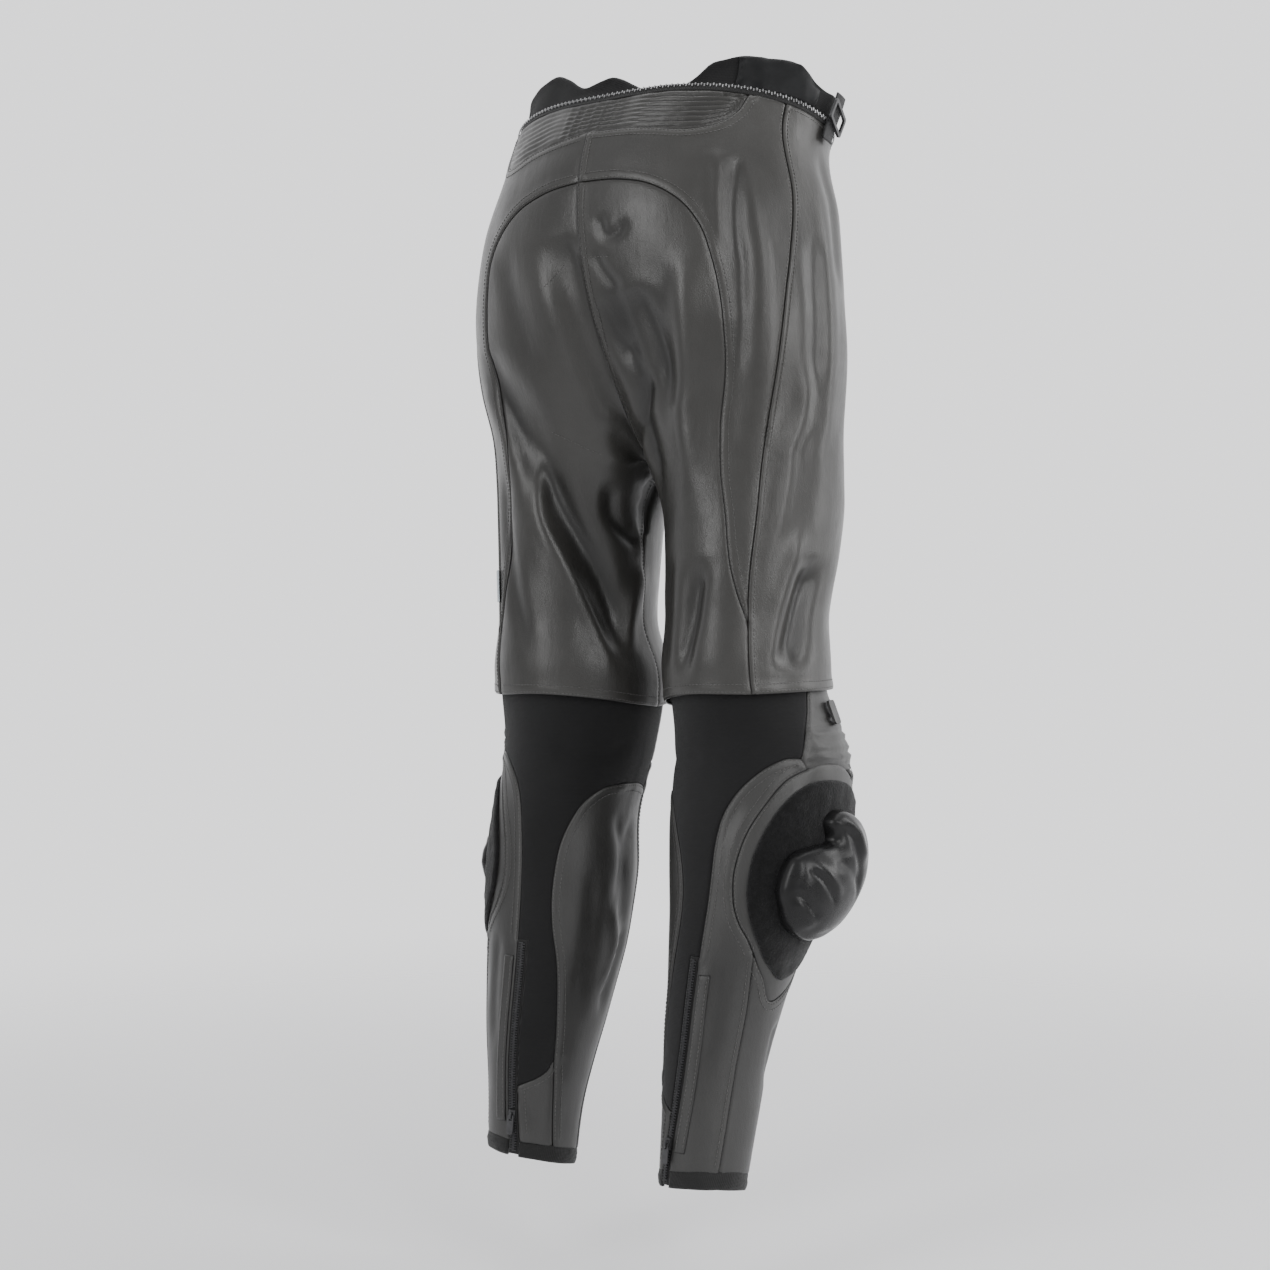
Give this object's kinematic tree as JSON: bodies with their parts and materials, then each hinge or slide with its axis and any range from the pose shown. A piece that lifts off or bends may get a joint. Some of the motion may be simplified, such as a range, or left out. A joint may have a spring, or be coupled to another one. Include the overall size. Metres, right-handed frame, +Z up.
{
  "type": "motorcycle trousers",
  "caption": "Leather riding trousers filled out as worn, with an open waist and ankles, stretch calf panels, ribbed knees, domed knee pads, calf zips and an inner waistband.",
  "frame": {"origin": "centre of the waist, level with the seam between the leather and the waistband", "axes": "+Z up, the wearer faces -Y and the wearer's left is +X"},
  "size_m": [0.4005, 0.2657, 1.0116],
  "materials": {
    "leather": "satin",
    "shin_leather": "satin",
    "stretch": "matte",
    "band": "matte",
    "satin": "satin",
    "loop": "matte",
    "pad": "satin",
    "zip": "matte",
    "metal": "satin",
    "label": "matte"
  },
  "bodies": {
    "trousers": {"front_R": "leather", "front_L": "leather", "back_outer_R": "leather", "back_outer_L": "leather", "seat_R": "leather", "seat_L": "leather", "stretch_calf_R": "stretch", "stretch_calf_L": "stretch", "knee_accordion_R": "shin_leather", "knee_accordion_L": "shin_leather", "knee_cup_R": "shin_leather", "knee_cup_L": "shin_leather", "shin_front_R": "shin_leather", "shin_front_L": "shin_leather", "shin_outer_R": "shin_leather", "shin_outer_L": "shin_leather", "inner_calf_R": "shin_leather", "inner_calf_L": "shin_leather", "lower_back_patch_R": "shin_leather", "lower_back_patch_L": "shin_leather", "zip_placket_R": "shin_leather", "zip_placket_L": "shin_leather", "calf_zip_R": "zip", "calf_zip_L": "zip", "calf_zip_slider_R": "metal", "calf_zip_slider_L": "metal", "cuff_R": "band", "cuff_L": "band", "knee_patch_R": "loop", "knee_patch_L": "loop", "knee_slider_R": "pad", "knee_slider_L": "pad", "knee_tab_R": "shin_leather", "knee_tab_L": "shin_leather", "shirred_back": "leather", "waist_zip_tape": "zip", "waistband_inner": "band", "adjuster_flap": "satin", "adjuster_strap": "band", "adjuster_buckle": "metal", "side_label": "label", "fly_placket": "leather", "fly_snap": "metal"},
    "pull_tab_left": {"calf_zip_pull_L": "metal"},
    "pull_tab_right": {"calf_zip_pull_R": "metal"}
  },
  "joints": [
    {"name": "zip_pull_left", "type": "hinge", "parent": "trousers", "child": "pull_tab_left", "pos_m": [0.08968, 0.13865, -0.92793], "axis": [0.9636, 0.2533, 0.0853], "range_deg": [0, 100]},
    {"name": "zip_pull_right", "type": "hinge", "parent": "trousers", "child": "pull_tab_right", "pos_m": [-0.08101, 0.13803, -0.92764], "axis": [0.9569, -0.2905, 0.001], "range_deg": [0, 100]}
  ]
}
